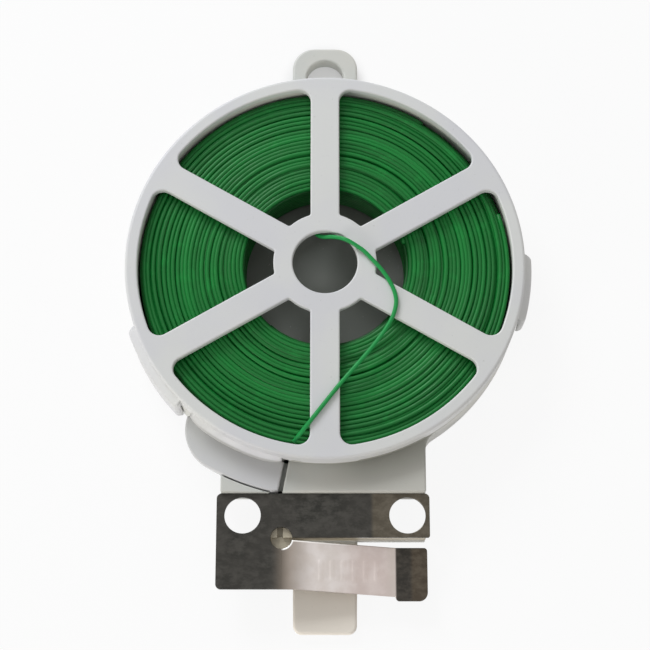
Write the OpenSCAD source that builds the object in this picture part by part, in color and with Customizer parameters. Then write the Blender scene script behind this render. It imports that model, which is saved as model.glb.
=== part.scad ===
// Wire spool: a flat drum of coated tie wire with a press-to-cut steel plate.
// Millimetres. The drum lies on its back on Z = 0 with the hub axis on Z.
// +Y points to the hang tab, -Y to the cutter, +X to the open end of the slit.

/* [Drum] */
// Diameter of the drum and its cover
drum_d = 96; // [90:1:104]
// Depth of the closed drum, back face to cover face
drum_depth = 16; // [15:0.5:20]
// Thickness of the drum floor
floor_t = 2; // [1.6:0.1:2.6]
// Thickness of the upright drum wall above the ledge
wall_t = 1.4; // [1.2:0.1:1.6]
// Height of the ledge that the cover skirt stands on
ledge_z = 10.5; // [10.5:0.1:11]
// Clearance between the cover and the case
cover_gap = 0.3; // [0.25:0.05:0.4]

/* [Cover] */
// Thickness of the cover face
cover_t = 1.8; // [1.4:0.1:2.2]
// Thickness of the cover skirt
skirt_t = 1.1; // [1:0.1:1.3]
// Width of the flat rim around the windows
rim_w = 3; // [2.8:0.1:3.4]
// Round on the outer edge of the cover face
rim_edge_r = 0.8; // [0.5:0.1:1]
// Width of one spoke
spoke_w = 7; // [5:0.5:8]
// Outer diameter of the hub ring
hub_d = 24.8; // [22:0.2:27]
// Diameter of the hole in the hub ring
hub_hole_d = 15.6; // [15:0.2:17]
// Radius in the outer corners of the windows
window_r = 2.8; // [2:0.1:3.5]
// Thickness of the snap lugs outside the wall
lug_t = 1.5; // [1.2:0.1:1.8]
// How far the round edge of the apron on the neck would run past the plate's top edge
apron_past = 1.25; // [0.65:0.05:1.5]
// Thickness of the apron
apron_t = 3; // [2:0.2:4]
// Radius of the apron's free corner
apron_corner_r = 10; // [7:0.5:12]

/* [Hang tab] */
// Width of the tab
tab_w = 16.4; // [15:0.2:18]
// Distance from the hub axis to the top of the tab
tab_top = 61.4; // [60:0.2:64]
// Thickness of the tab
tab_t = 3.6; // [3:0.2:4.4]
// Radius of the tab's upper corners
tab_corner_r = 5.5; // [4:0.5:7]
// Radius where the tab grows out of the drum
tab_flare_r = 3; // [2:0.5:3]
// Diameter of the hang hole
tab_hole_d = 9.4; // [8:0.2:10]
// Distance from the hub axis to the hang hole
tab_hole_y = 53.2; // [53:0.2:54]

/* [Neck] */
// Width of the neck between drum and cutter
neck_w = 48.2; // [47:0.2:49]
// Distance from the hub axis to the step that the plate butts on
neck_step = 54.7; // [54:0.1:55.5]
// Height of the neck above the back face
neck_top = 10.2; // [9.8:0.1:10.4]
// Radius between the neck's open side and the drum
neck_fillet_r = 5; // [4:0.5:6]
// Length of the shelf under the steel band
shelf_len = 10.3; // [10.2:0.1:10.5]
// Thickness of the shelf's front wall
shelf_wall = 0.8; // [0.6:0.1:0.8]
// Height of the shelf's top, where the steel lies
shelf_top = 7.6; // [7.2:0.1:8]
// Length of the nose of the shelf under the relief hole
nose_len = 3.2; // [3:0.1:3.6]
// Width of the finger tongue
tongue_w = 15.4; // [13:0.2:18]
// Distance from the hub axis to the end of the tongue
tongue_end = 86.8; // [84:0.2:90]
// Thickness of the tongue
tongue_t = 2.2; // [1.8:0.1:2.4]
// Radius of the tongue's corners
tongue_corner_r = 2; // [1:0.5:3]
// Width of the wire slot
slot_w = 1.3; // [1.2:0.1:1.6]
// Height of the wire slot's floor above the back face
slot_floor_z = 6.2; // [5:0.2:6.2]

/* [Cutter] */
// Width of the steel plate
plate_w = 49.9; // [49.4:0.1:51]
// Height of the steel plate
plate_h = 22.4; // [21.6:0.1:23.2]
// Thickness of the steel
steel_t = 1; // [0.8:0.1:1.1]
// Diameter of the two fixing holes
fix_d = 8.5; // [7.6:0.1:8.7]
// Mean distance from the plate's ends to the fixing holes
fix_inset = 5.65; // [5.5:0.05:5.9]
// Distance from the plate's top edge to the fixing holes
fix_drop = 5.2; // [5:0.1:5.3]
// Diameter of the relief hole at the end of the slit
relief_d = 5.1; // [4.6:0.1:5.4]
// Where the relief hole lies across the plate
relief_x = -10.2; // [-10.6:0.1:-9.8]
// Width of the slit at the relief hole
slit_w = 0.6; // [0.5:0.05:0.8]
// Where the flap bends away from the plate
bend_x = -7.1; // [-7.4:0.1:-6.8]
// Where the slope of the flap ends in its lip
ridge_x = 16.5; // [15:0.1:17]
// Drop of the lip below the plate
flap_drop = 3.8; // [3:0.1:4.2]
// How much the slit opens from the bend to the lip
slit_flare = 1.3; // [1:0.1:1.6]
// How much longer the lip is than the slope beside it
lip_extra = 1; // [0.8:0.1:1.4]
// Radius of the lip's free corner
lip_corner_r = 2; // [1.5:0.1:2.5]
// Gap in the steel at the bend
bend_gap = 0.3; // [0.25:0.05:0.4]

/* [Wire coil] */
// Diameter of the coated wire
wire_d = 1; // [0.9:0.05:1.1]
// Inner diameter of the coil
coil_in_d = 39; // [38:0.5:41]
// Clearance between the coil and the drum wall
coil_side_gap = 0.55; // [0.5:0.05:0.6]
// Space between the coil and the cover face
coil_top_gap = 0.7; // [0.6:0.1:3]
// Least distance between neighbouring turns on the face of the coil
turn_pitch_min = 1.41; // [1.41:0.01:1.6]

/* [Hidden] */
$fn = 96;

// How far joined forms run into each other, and how far a cut runs past a face
sink = 0.5;
cut = 1;

drum_r = drum_d / 2;
wall_in_r = drum_r - skirt_t - cover_gap - wall_t;
spigot_r = wall_in_r + wall_t;
window_out_r = drum_r - rim_w;
cover_z = drum_depth - cover_t;
spoke_angles = [30, 90, 150, 210, 270, 330];

// The skirt's edge stands clear of the case over these spans beside the neck.
skirt_reliefs = [[225.7, 227.8], [260, 264], [279, 300]];
skirt_relief_h = 0.9;

// Angles, heights and join of the parts of the cover that stand outside the wall
lug_in_r = drum_r + cover_gap + 0.05;
lug_root_z = ledge_z + 0.1;
left_lug = [199, 225.2];
right_lug = [-17, 3];
left_lug_low = 2.5;
right_lug_low = 5;
left_lug_top = drum_depth - 1;
right_lug_top = drum_depth - 1.5;
lug_shoulder = 0.6;
apron = [228, 258.5];
apron_r = neck_step + apron_past;
apron_low = neck_top - apron_t;
apron_root_top = ledge_z + 2;
apron_step = 0.4;
slot_angle = 259;

// The neck and the plate lie a little to the left of the hub.
neck_l = -neck_w / 2 - 0.4;
neck_r = neck_l + neck_w;
neck_root = sqrt(pow(wall_in_r, 2) - pow(neck_w / 2 + cut, 2));
shelf_front = -neck_step - shelf_len;
plate_l = -plate_w / 2 - 0.45;
plate_r = plate_l + plate_w;
plate_low = -neck_step - plate_h;
plate_corner_r = 1.2;
fix_x = plate_w / 2 - fix_inset;
fix_y = -neck_step - fix_drop;
bay_x = fix_x - fix_d / 2 - 0.4;
band_low = shelf_front - 0.1;
flap_top = band_low - slit_w;
lip_r = plate_r - 0.5;
slope_angle = atan(flap_drop / (ridge_x - bend_x));

wire_r = wire_d / 2;
coil_out_r = wall_in_r - coil_side_gap;
coil_low_z = floor_t + cover_gap;
first_turn_r = coil_in_d / 2 + wire_r;
winding_span = coil_out_r - wire_r - first_turn_r;
turns = floor(winding_span / turn_pitch_min);
turn_pitch = winding_span / turns;
winding_z = cover_z - coil_top_gap - wire_r;
core_top = winding_z - wire_r - 0.05;
rings_per_turn = 24;
turn_sides = 6;

// The free end of the wire, measured from the cover face: out of the coil, up
// through the hub hole, over the cover and down beside the rim.
tail_sides = 8;
tail_route = [
    [0.9, 18.3, -6.8], [-0.5, 16.9, -6.1], [-1.9, 15, -5.4], [-2.8, 12.9, -4.7],
    [-3, 10.7, -4], [-2.6, 8.8, -3.3], [-1.6, 7.5, -2.6], [-0.2, 6.8, -1.7], [1.6, 6.5, -0.7],
    [3.3, 6, 0.2], [4.9, 5.3, 0.9], [6.5, 4.4, 1], [7.9, 3.5, 0.8], [9.4, 2.4, 0.7],
    [11.1, 0.6, 0.6], [13.2, -1.8, 0.6], [15, -4.4, 0.6], [16.4, -7.3, 0.6], [16.9, -10.2, 0.6],
    [16.2, -13.4, 0.6], [14.7, -16.3, 0.6], [12.7, -19.2, 0.6], [10.7, -21.8, 0.6],
    [8.6, -24.3, 0.6], [6.2, -27.1, 0.6], [3.8, -29.9, 0.6], [1.4, -32.9, 0.6],
    [-1, -36, 0.6], [-3.1, -38.7, 0.6], [-4.9, -40.9, 0.1], [-6.2, -42.4, -0.9],
    [-7.2, -43.4, -1.9]
];

plastic = [0.9, 0.9, 0.88];
steel = [0.42, 0.4, 0.38];
wire_green = [0.05, 0.42, 0.15];

// A pie slice of a flat ring, as a 2D outline.
module ring_sector(r_in, r_out, from, to) {
    reach = 2 * r_out;
    intersection() {
        difference() {
            circle(r = r_out);
            circle(r = r_in);
        }
        polygon([
            [0, 0],
            reach * [cos(from), sin(from)],
            reach * [cos((from + to) / 2), sin((from + to) / 2)],
            reach * [cos(to), sin(to)]
        ]);
    }
}

// The web that rounds the corner between the neck's open side and the drum.
module neck_fillet() {
    r = neck_fillet_r;
    cx = neck_r + r;
    cy = -sqrt(pow(drum_r + r, 2) - cx * cx);
    share = (drum_r - sink) / (drum_r + r);
    difference() {
        polygon([[neck_r, cy], [neck_r - cut, cy], [neck_r - cut, cy + r], [cx, cy] * share, [cx, cy]]);
        translate([cx, cy]) circle(r = r);
    }
}

// Flat plate with four round corners, low left corner at the origin.
module round_plate(width, height, r, t) {
    translate([r, 0, 0]) cube([width - 2 * r, height, t]);
    translate([0, r, 0]) cube([width, height - 2 * r, t]);
    for (x = [r, width - r], y = [r, height - r])
        translate([x, y, 0]) cylinder(r = r, h = t);
}

module tab_outline() {
    half = tab_w / 2;
    web_x = half + tab_flare_r;
    web_y = sqrt(pow(drum_r + tab_flare_r, 2) - web_x * web_x);
    translate([-half, 0]) square([tab_w, tab_top - tab_corner_r]);
    translate([-half + tab_corner_r, 0]) square([tab_w - 2 * tab_corner_r, tab_top]);
    for (side = [-1, 1]) {
        translate([side * (half - tab_corner_r), tab_top - tab_corner_r]) circle(r = tab_corner_r);
        difference() {
            polygon([
                [side * (half - cut), web_y],
                [side * (half - cut), web_y - tab_flare_r - cut],
                [side * web_x, web_y - tab_flare_r - cut],
                [side * web_x, web_y]
            ]);
            translate([side * web_x, web_y]) circle(r = tab_flare_r);
        }
    }
}

module drum_shell() {
    cylinder(r = drum_r, h = ledge_z);
    cylinder(r = spigot_r, h = cover_z - cover_gap);
    linear_extrude(tab_t) tab_outline();
}

module neck_block() {
    translate([neck_l, -neck_step, 0]) cube([neck_w, neck_step - neck_root, neck_top]);
    linear_extrude(neck_top) neck_fillet();
}

// Shelf under the steel band: a middle block and a front wall, open below the fixing holes,
// and a lower nose that backs the relief hole.
module shelf() {
    translate([-bay_x, shelf_front, 0]) cube([2 * bay_x, shelf_len + cut, shelf_top]);
    translate([neck_l, shelf_front, 0]) cube([neck_w, shelf_wall, shelf_top]);
    translate([-bay_x, shelf_front - nose_len, 0])
        cube([bay_x + bend_x - bend_gap, nose_len + cut, shelf_top - steel_t]);
}

module tongue() {
    translate([-tongue_w / 2, -tongue_end, 0])
        round_plate(tongue_w, tongue_end + shelf_front + tongue_corner_r, tongue_corner_r, tongue_t);
}

// Straight leg of the wire's groove, open above, from one point to another.
module groove(from, to) {
    run = to - from;
    translate([from.x, from.y, slot_floor_z])
        rotate(atan2(run.y, run.x))
            translate([-4 * cut, -slot_w / 2, 0])
                cube([norm(run) + 6 * cut, slot_w, drum_depth]);
}

// The groove runs out beside the apron's end, bends under the steel and ends at the relief hole.
module wire_slot() {
    drum_exit = (drum_r - 2 * skirt_t) * [cos(slot_angle), sin(slot_angle)];
    knee_y = -neck_step - slot_w / 2;
    knee = [knee_y / tan(slot_angle), knee_y];
    groove(drum_exit, knee);
    groove(knee, [relief_x, band_low]);
}

module rear_case() {
    color(plastic)
        difference() {
            union() {
                drum_shell();
                neck_block();
                shelf();
                tongue();
            }
            translate([0, 0, floor_t]) cylinder(r = wall_in_r, h = drum_depth);
            // The cover's skirt stands on the neck, and its apron lies in a pocket of it.
            translate([0, 0, ledge_z])
                linear_extrude(drum_depth) ring_sector(spigot_r, drum_r + cut, 180, 360);
            translate([0, 0, apron_low - cover_gap])
                linear_extrude(drum_depth)
                    intersection() {
                        ring_sector(drum_r, apron_r + cover_gap, apron[0] - 2, apron[1] + 0.6);
                        translate([-drum_d, -neck_step]) square(drum_d);
                    }
            wire_slot();
            translate([0, tab_hole_y, -cut]) cylinder(d = tab_hole_d, h = tab_t + 2 * cut);
        }
}

// One spoke along +X with the webs that round the window corners at the rim, as a 2D outline.
module spoke_outline() {
    web_y = spoke_w / 2 + window_r;
    web_x = sqrt(pow(window_out_r - window_r, 2) - web_y * web_y);
    to_rim = window_out_r / (window_out_r - window_r);
    translate([hub_hole_d / 2 + cut, -spoke_w / 2])
        square([window_out_r - hub_hole_d / 2, spoke_w]);
    for (side = [-1, 1])
        difference() {
            polygon([
                [web_x, side * web_y],
                [web_x, side * (spoke_w / 2 - sink)],
                [window_out_r + sink, side * (spoke_w / 2 - sink)],
                [web_x * to_rim + sink, side * web_y * to_rim]
            ]);
            translate([web_x, side * web_y]) circle(r = window_r);
        }
}

module cover_face() {
    rotate_extrude() {
        translate([window_out_r, 0]) square([rim_w - rim_edge_r, cover_t]);
        translate([window_out_r, 0]) square([rim_w, cover_t - rim_edge_r]);
        translate([drum_r - rim_edge_r, cover_t - rim_edge_r]) circle(r = rim_edge_r);
    }
    linear_extrude(cover_t)
        difference() {
            union() {
                circle(d = hub_d);
                for (a = spoke_angles) rotate(a) spoke_outline();
            }
            circle(d = hub_hole_d);
        }
}

module cover_skirt() {
    difference() {
        cylinder(r = drum_r, h = cover_z - ledge_z + sink);
        translate([0, 0, -cut]) cylinder(r = drum_r - skirt_t, h = drum_depth);
        for (span = skirt_reliefs)
            translate([0, 0, -cut])
                linear_extrude(skirt_relief_h + cut)
                    ring_sector(drum_r - 2 * skirt_t, drum_r + cut, span[0], span[1]);
    }
}

// A snap lug: it hangs outside the wall and joins the skirt above the ledge.
module lug(span, low, high, t) {
    translate([0, 0, low])
        linear_extrude(high - low - lug_shoulder)
            ring_sector(lug_in_r, lug_in_r + t, span[0], span[1]);
    translate([0, 0, lug_root_z])
        linear_extrude(high - lug_root_z)
            ring_sector(drum_r - sink, lug_in_r + t - lug_shoulder, span[0], span[1]);
}

// Points on a circle about [x, 0], turned by turn, from one angle to another.
function arc_points(r, x, turn, from, to, count) = [
    for (i = [0:count])
        let (a = from + (to - from) * i / count)
            [x * cos(turn) + r * cos(turn + a), x * sin(turn) + r * sin(turn + a)]
];

// The apron seen from the front: a crescent in flat steps with one large free corner,
// cut off straight where the steel plate begins.
module apron_outline() {
    corner_x = apron_r - apron_corner_r;
    gap = pow(lug_in_r, 2) - pow(apron_corner_r, 2);
    half = acos((pow(corner_x, 2) + gap) / (2 * corner_x * lug_in_r));
    sweep = acos((gap - pow(corner_x, 2)) / (2 * corner_x * apron_corner_r));
    front_y = -neck_step + cover_gap;
    front_angle = 180 + asin(-front_y / apron_r);
    polygon(concat(
        arc_points(lug_in_r, 0, 0, apron[1], apron[0] + 0.5, 14),
        arc_points(apron_corner_r, corner_x, apron[0] + half, -sweep, 0, 10),
        arc_points(apron_r, 0, 0, apron[0] + half + 1.5, front_angle, 8),
        [[front_y / tan(apron[1]), front_y]]
    ));
}

// The apron lies flush with the neck and rises along the drum to join the skirt.
module cover_apron() {
    from = apron[0] + 1;
    to = apron[1] - 0.5;
    rise_in = lug_in_r + apron_step;
    rise_out = rise_in + skirt_t;
    translate([0, 0, apron_low]) linear_extrude(apron_t) apron_outline();
    translate([0, 0, neck_top - sink])
        linear_extrude(apron_root_top - lug_shoulder - neck_top + sink)
            ring_sector(rise_in, rise_out, from, to);
    translate([0, 0, lug_root_z])
        linear_extrude(apron_root_top - lug_root_z)
            ring_sector(drum_r - sink, rise_out - lug_shoulder, from, to);
}

module front_cover() {
    color(plastic) {
        translate([0, 0, cover_z]) cover_face();
        translate([0, 0, ledge_z]) cover_skirt();
        lug(left_lug, left_lug_low, left_lug_top, lug_t);
        lug(right_lug, right_lug_low, right_lug_top, lug_t);
        cover_apron();
    }
}

module cutter_plate() {
    color(steel)
        difference() {
            translate([plate_l, plate_low, shelf_top]) round_plate(plate_w, plate_h, plate_corner_r, steel_t);
            for (side = [-1, 1])
                translate([side * fix_x, fix_y, 0]) cylinder(d = fix_d, h = drum_depth);
            translate([relief_x, band_low - 0.1, 0]) cylinder(d = relief_d, h = drum_depth);
            translate([bend_x - bend_gap, plate_low - cut, 0])
                cube([plate_w, band_low - plate_low + cut, drum_depth]);
            // The slit between the relief hole and the bend
            translate([relief_x, flap_top, 0]) cube([bend_x - relief_x, slit_w, drum_depth]);
        }
}

// The flap seen from the front: a sloped run that leans with the slit, then the lip.
module flap_plan() {
    high = flap_top - slit_flare;
    low = plate_low - slit_flare;
    lip_low = low - lip_extra;
    small_r = lip_corner_r / 2;
    polygon([[bend_x, plate_low], [ridge_x, low], [ridge_x, high], [bend_x, flap_top]]);
    translate([ridge_x, lip_low + lip_corner_r])
        square([lip_r - ridge_x, high - lip_low - lip_corner_r]);
    translate([ridge_x + small_r, lip_low])
        square([lip_r - ridge_x - small_r - lip_corner_r, lip_corner_r + sink]);
    translate([lip_r - lip_corner_r, lip_low + lip_corner_r]) circle(r = lip_corner_r);
    translate([ridge_x + small_r, lip_low + small_r]) circle(r = small_r);
    translate([ridge_x, lip_low + small_r]) square(lip_corner_r);
}

// The flap seen from below: one strip of steel, sloped, then level.
module flap_profile() {
    mitre = steel_t * tan(slope_angle / 2);
    polygon([
        [bend_x, 0], [ridge_x, -flap_drop], [plate_r, -flap_drop],
        [plate_r, steel_t - flap_drop], [ridge_x + mitre, steel_t - flap_drop],
        [bend_x + mitre, steel_t], [bend_x, steel_t]
    ]);
}

module cutter_flap() {
    deep = plate_h + slit_flare + lip_extra + cut;
    color(steel)
        intersection() {
            translate([0, 0, shelf_top - flap_drop - cut])
                linear_extrude(flap_drop + steel_t + 2 * cut) flap_plan();
            translate([0, flap_top + cut, shelf_top])
                rotate([90, 0, 0]) linear_extrude(deep) flap_profile();
        }
}

module coil_core() {
    color(wire_green)
        translate([0, 0, coil_low_z])
            difference() {
                cylinder(r = coil_out_r, h = core_top - coil_low_z);
                translate([0, 0, -cut]) cylinder(d = coil_in_d, h = drum_depth);
            }
}

// A tube of flat rings: centres, the outward direction of each ring and the up direction.
module swept_tube(centres, outs, ups, r, sides) {
    count = len(centres);
    turn = 180 / sides;
    points = [
        for (i = [0:count - 1], s = [0:sides - 1])
            centres[i] + r * cos(turn + 360 * s / sides) * outs[i] + r * sin(turn + 360 * s / sides) * ups[i]
    ];
    walls = [
        for (i = [0:count - 2], s = [0:sides - 1], half = [0, 1])
            let (a = i * sides + s, b = i * sides + (s + 1) % sides)
            half == 0 ? [a, b, b + sides] : [a, b + sides, a + sides]
    ];
    ends = [
        for (s = [1:sides - 2], e = [0, 1])
            let (z = (count - 1) * sides)
            e == 0 ? [0, s + 1, s] : [z, z + s, z + s + 1]
    ];
    polyhedron(points = points, faces = concat(walls, ends));
}

// Centre of the flat spiral after t turns.
function spiral(t) = (first_turn_r + t * turn_pitch) * [cos(360 * t), sin(360 * t), 0];

module coil_winding() {
    steps = turns * rings_per_turn;
    turn = 360 / rings_per_turn;
    round_turns = [for (i = [0:steps]) spiral(i / rings_per_turn) + [0, 0, winding_z]];
    // Both ends run straight on for one wire diameter.
    centres = concat(
        [round_turns[0] + [0, -wire_d, 0]],
        round_turns,
        [round_turns[steps] + wire_d * [-sin(turn * steps), cos(turn * steps), 0]]
    );
    outs = [for (i = [-1:steps + 1]) let (a = turn * max(0, min(steps, i))) [cos(a), sin(a), 0]];
    ups = [for (i = [-1:steps + 1]) [0, 0, 1]];
    gaps = [
        for (i = [0:steps - rings_per_turn])
            norm(round_turns[i + rings_per_turn] - round_turns[i]) * cos(turn / 2) - wire_d
    ];
    echo(least_gap_between_turns = min(gaps));
    color(wire_green) swept_tube(centres, outs, ups, wire_r, turn_sides);
}

// A smooth curve from b to c, also led by the points before and after them.
function between(a, b, c, d, t) =
    0.5 * (2 * b + (c - a) * t + (2 * a - 5 * b + 4 * c - d) * t * t + (3 * b - a - 3 * c + d) * t * t * t);

module wire_tail() {
    steps = 2;
    last = len(tail_route) - 1;
    centres = concat([
        for (i = [0:last - 1], s = [0:steps - 1])
            between(
                tail_route[max(i - 1, 0)], tail_route[i],
                tail_route[i + 1], tail_route[min(i + 2, last)], s / steps
            )
    ], [tail_route[last]]);
    count = len(centres);
    along = [for (i = [0:count - 1]) centres[min(i + 1, count - 1)] - centres[max(i - 1, 0)]];
    outs = [for (v = along) cross(v, [0, 0, 1]) / norm(cross(v, [0, 0, 1]))];
    ups = [for (i = [0:count - 1]) cross(outs[i], along[i]) / norm(cross(outs[i], along[i]))];
    color(wire_green)
        translate([0, 0, drum_depth])
            swept_tube(centres, outs, ups, wire_r, tail_sides);
}

rear_case();
front_cover();
cutter_plate();
cutter_flap();
coil_core();
coil_winding();
wire_tail();
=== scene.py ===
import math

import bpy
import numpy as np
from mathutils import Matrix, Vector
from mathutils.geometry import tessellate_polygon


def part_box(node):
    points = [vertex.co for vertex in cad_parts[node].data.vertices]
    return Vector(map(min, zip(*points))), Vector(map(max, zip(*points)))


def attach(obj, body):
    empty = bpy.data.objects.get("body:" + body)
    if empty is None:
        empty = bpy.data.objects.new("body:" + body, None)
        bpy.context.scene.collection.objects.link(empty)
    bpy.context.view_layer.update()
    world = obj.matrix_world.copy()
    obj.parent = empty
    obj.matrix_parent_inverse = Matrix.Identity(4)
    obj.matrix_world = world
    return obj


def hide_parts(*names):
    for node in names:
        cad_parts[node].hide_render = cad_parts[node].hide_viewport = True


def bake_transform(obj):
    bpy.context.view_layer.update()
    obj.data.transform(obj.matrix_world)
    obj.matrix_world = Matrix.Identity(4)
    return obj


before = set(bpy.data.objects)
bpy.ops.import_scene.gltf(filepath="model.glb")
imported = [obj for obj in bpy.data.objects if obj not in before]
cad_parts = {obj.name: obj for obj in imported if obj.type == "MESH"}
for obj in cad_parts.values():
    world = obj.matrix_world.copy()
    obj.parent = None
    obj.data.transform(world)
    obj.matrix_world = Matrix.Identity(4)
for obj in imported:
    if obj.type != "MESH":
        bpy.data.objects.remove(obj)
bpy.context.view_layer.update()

# %% [markdown]
# # A wire spool, piece by piece
# The spool is a flat white drum that holds a coil of green coated wire. A windowed cover snaps over
# it, and a steel plate on its neck cuts the wire when its flap is pressed. The imported model gives
# every size, so this file only adds what the eye looks for: rounded edges, real turns of wire, and
# surfaces with grain and wear, with light and shade painted into some of their colours. All lengths
# below are in millimetres until a mesh is made.

MM = 0.001


def node_box(node):
    """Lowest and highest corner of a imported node, in millimetres."""
    low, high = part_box(node)
    return np.array(low) / MM, np.array(high) / MM


case_low, case_high = node_box("rear_case")
cover_high = node_box("front_cover")[1]
plate_low, plate_high = node_box("cutter_plate")
flap_low, flap_high = node_box("cutter_flap")
core_low, core_high = node_box("coil_core")
winding_high = node_box("coil_winding")[1]
print("case", case_low.round(1), case_high.round(1))

# %% [markdown]
# ## Where the camera stands
# The spool lies on its back on a pale floor. It is seen from the cutter's side and from high up, so
# its face is almost round and the near walls show as thin bands. A camera close to a flat object
# makes its near end larger. The distance is therefore a size of its own, and the lens follows from it.

# %% Camera
HUB_TOP = np.array([0, 0, cover_high[2]])
CAMERA_DISTANCE = 400
CAMERA_RISE = math.radians(72)
AIM = np.array([0, -13.5, 8])
LENS = 92.5

camera_data = bpy.data.cameras.new("camera")
camera_data.lens = LENS
camera_data.sensor_width = 36
camera_data.clip_start = 0.01
camera = bpy.data.objects.new("camera", camera_data)
bpy.context.scene.collection.objects.link(camera)
bpy.context.scene.camera = camera
stand = HUB_TOP + CAMERA_DISTANCE * np.array([0, -math.cos(CAMERA_RISE), math.sin(CAMERA_RISE)])
camera.location = Vector(stand * MM)
camera.rotation_euler = Vector((AIM - stand).tolist()).to_track_quat("-Z", "Y").to_euler()

# %% [markdown]
# ## From arrays to a mesh
# Every new piece is a set of closed surfaces worked out as arrays. A surface is a grid of points:
# rows follow a section and columns follow the way round. One function turns such a grid into faces,
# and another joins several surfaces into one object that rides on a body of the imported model.

# %% Grids, joins and pieces


def grid(points, wrap_rows=False):
    """Faces between the rows and round the columns of an array (rows, columns, 3).

    Face (i, j) joins points (i, j), (i, j+1), (i+1, j+1) and (i+1, j). Columns always close round.
    """
    rows, columns = points.shape[:2]
    i, j = np.meshgrid(np.arange(rows if wrap_rows else rows - 1), np.arange(columns), indexing="ij")
    up, on = (i + 1) % rows, (j + 1) % columns
    faces = np.stack([i * columns + j, i * columns + on, up * columns + on, up * columns + j], -1)
    return points.reshape(-1, 3), faces.reshape(-1, 4).tolist()


def join(*surfaces):
    """One list of points and one of faces out of several surfaces."""
    points, faces, start = [], [], 0
    for own_points, own_faces in surfaces:
        points.append(own_points)
        faces += [[start + v for v in face] for face in own_faces]
        start += len(own_points)
    return np.concatenate(points), faces


def make_piece(name, surface, material, body, replaces=()):
    """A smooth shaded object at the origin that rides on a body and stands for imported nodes."""
    points, faces = surface
    mesh = bpy.data.meshes.new(name)
    mesh.from_pydata((points * MM).tolist(), [], faces)
    mesh.polygons.foreach_set("use_smooth", np.ones(len(mesh.polygons), bool))
    mesh.materials.append(material)
    made = bpy.data.objects.new(name, mesh)
    bpy.context.scene.collection.objects.link(made)
    if body:
        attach(made, body)
    if replaces:
        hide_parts(*replaces)
    print(f"{name}: {len(points)} points, {len(faces)} faces")
    return made


def even_normals(made):
    """Lets broad faces set the normals, so that flats stay flat beside a rounded edge."""
    weighting = made.modifiers.new("even_normals", "WEIGHTED_NORMAL")
    weighting.keep_sharp = True
    weighting.weight = 100


# %% [markdown]
# ## Slabs with rounded edges
# Moulded plastic and sheet steel are mostly slabs: an outline, some holes and a thickness. What
# makes them look real is the small round along every edge. Here the outline and the holes are loops
# of points, and a short section, written as (inset, height), is carried along each loop.

# %% Outlines


def arc(centre, radius, start, end, count):
    """Points on a circle from one angle to another, in degrees."""
    t = np.radians(np.linspace(start, end, count))
    return np.asarray(centre, float) + radius * np.stack([np.cos(t), np.sin(t)], -1)


def round_corners(corners, radii, count=7):
    """A closed outline whose corners are arcs of the given radii, each tangent to both of its sides."""
    corners = np.asarray(corners, float)
    radii = np.broadcast_to(radii, len(corners))
    loop = []
    for i, radius in enumerate(radii):
        corner = corners[i]
        if radius == 0:
            loop.append(corner[None])
            continue
        back, on = corners[i - 1] - corner, corners[(i + 1) % len(corners)] - corner
        back, on = back / np.linalg.norm(back), on / np.linalg.norm(on)
        half = math.acos(np.clip(back @ on, -1, 1)) / 2
        middle = back + on
        centre = corner + middle / np.linalg.norm(middle) * radius / math.sin(half)
        first, last = (corner + side * radius / math.tan(half) - centre for side in (back, on))
        start = math.degrees(math.atan2(first[1], first[0]))
        sweep = (math.degrees(math.atan2(last[1], last[0])) - start + 180) % 360 - 180
        loop.append(arc(centre, radius, start, start + sweep, count))
    return np.concatenate(loop)


def turned_left(loop):
    """The loop, run anticlockwise."""
    following = np.roll(loop, -1, 0)
    area = (loop[:, 0] * following[:, 1] - following[:, 0] * loop[:, 1]).sum()
    return loop if area > 0 else loop[::-1]


# %% The slab itself


def rounded_section(low, high, low_edge, high_edge, count=4):
    """(inset, height) pairs from the lower face to the upper one, with a quarter round at each."""
    t = np.radians(np.linspace(0, 90, count))
    lower = np.stack([low_edge * (1 - np.sin(t)), low + low_edge * (1 - np.cos(t))], -1)
    upper = np.stack([high_edge * (1 - np.cos(t)), high - high_edge * (1 - np.sin(t))], -1)
    return np.concatenate([lower, upper])


def carried_along(loop, section):
    """Rows of points: the loop moved inwards along its own normals and lifted, once per pair."""
    ahead = np.roll(loop, -1, 0) - loop
    ahead /= np.linalg.norm(ahead, axis=1, keepdims=True)
    behind = np.roll(ahead, 1, 0)
    out_ahead = np.stack([ahead[:, 1], -ahead[:, 0]], -1)
    out_behind = np.stack([behind[:, 1], -behind[:, 0]], -1)
    outward = out_ahead + out_behind
    outward /= np.maximum((outward * out_ahead).sum(1, keepdims=True), 0.4)
    rows = []
    for inset, height in section:
        flat = loop - outward * np.broadcast_to(inset, len(loop))[:, None]
        rows.append(np.column_stack([flat, np.broadcast_to(height, len(loop))]))
    return np.array(rows)


def cap(rims, face_up):
    """Triangles that fill the space between an outer rim and the holes in it."""
    points = np.concatenate(rims)
    triangles = np.array(tessellate_polygon([[Vector((*p[:2], 0)) for p in rim] for rim in rims]))
    a, b, c = (points[triangles[:, k]] for k in range(3))
    area = (b[:, 0] - a[:, 0]) * (c[:, 1] - a[:, 1]) - (b[:, 1] - a[:, 1]) * (c[:, 0] - a[:, 0])
    turn = (area > 0) != face_up
    triangles[turn] = triangles[turn][:, ::-1]
    return points, triangles[np.abs(area) > 1e-9].tolist()


def slab(outline, holes, section, hole_section=None):
    """A closed solid from an outline and its holes; sections may hold one value per point."""
    loops = [turned_left(outline)] + [turned_left(hole)[::-1] for hole in holes]
    sections = [section] + [section if hole_section is None else hole_section] * len(holes)
    walls = [carried_along(loop, own) for loop, own in zip(loops, sections)]
    lower = cap([wall[0] for wall in walls], False)
    upper = cap([wall[-1] for wall in walls], True)
    return join(*(grid(wall) for wall in walls), lower, upper)


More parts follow.
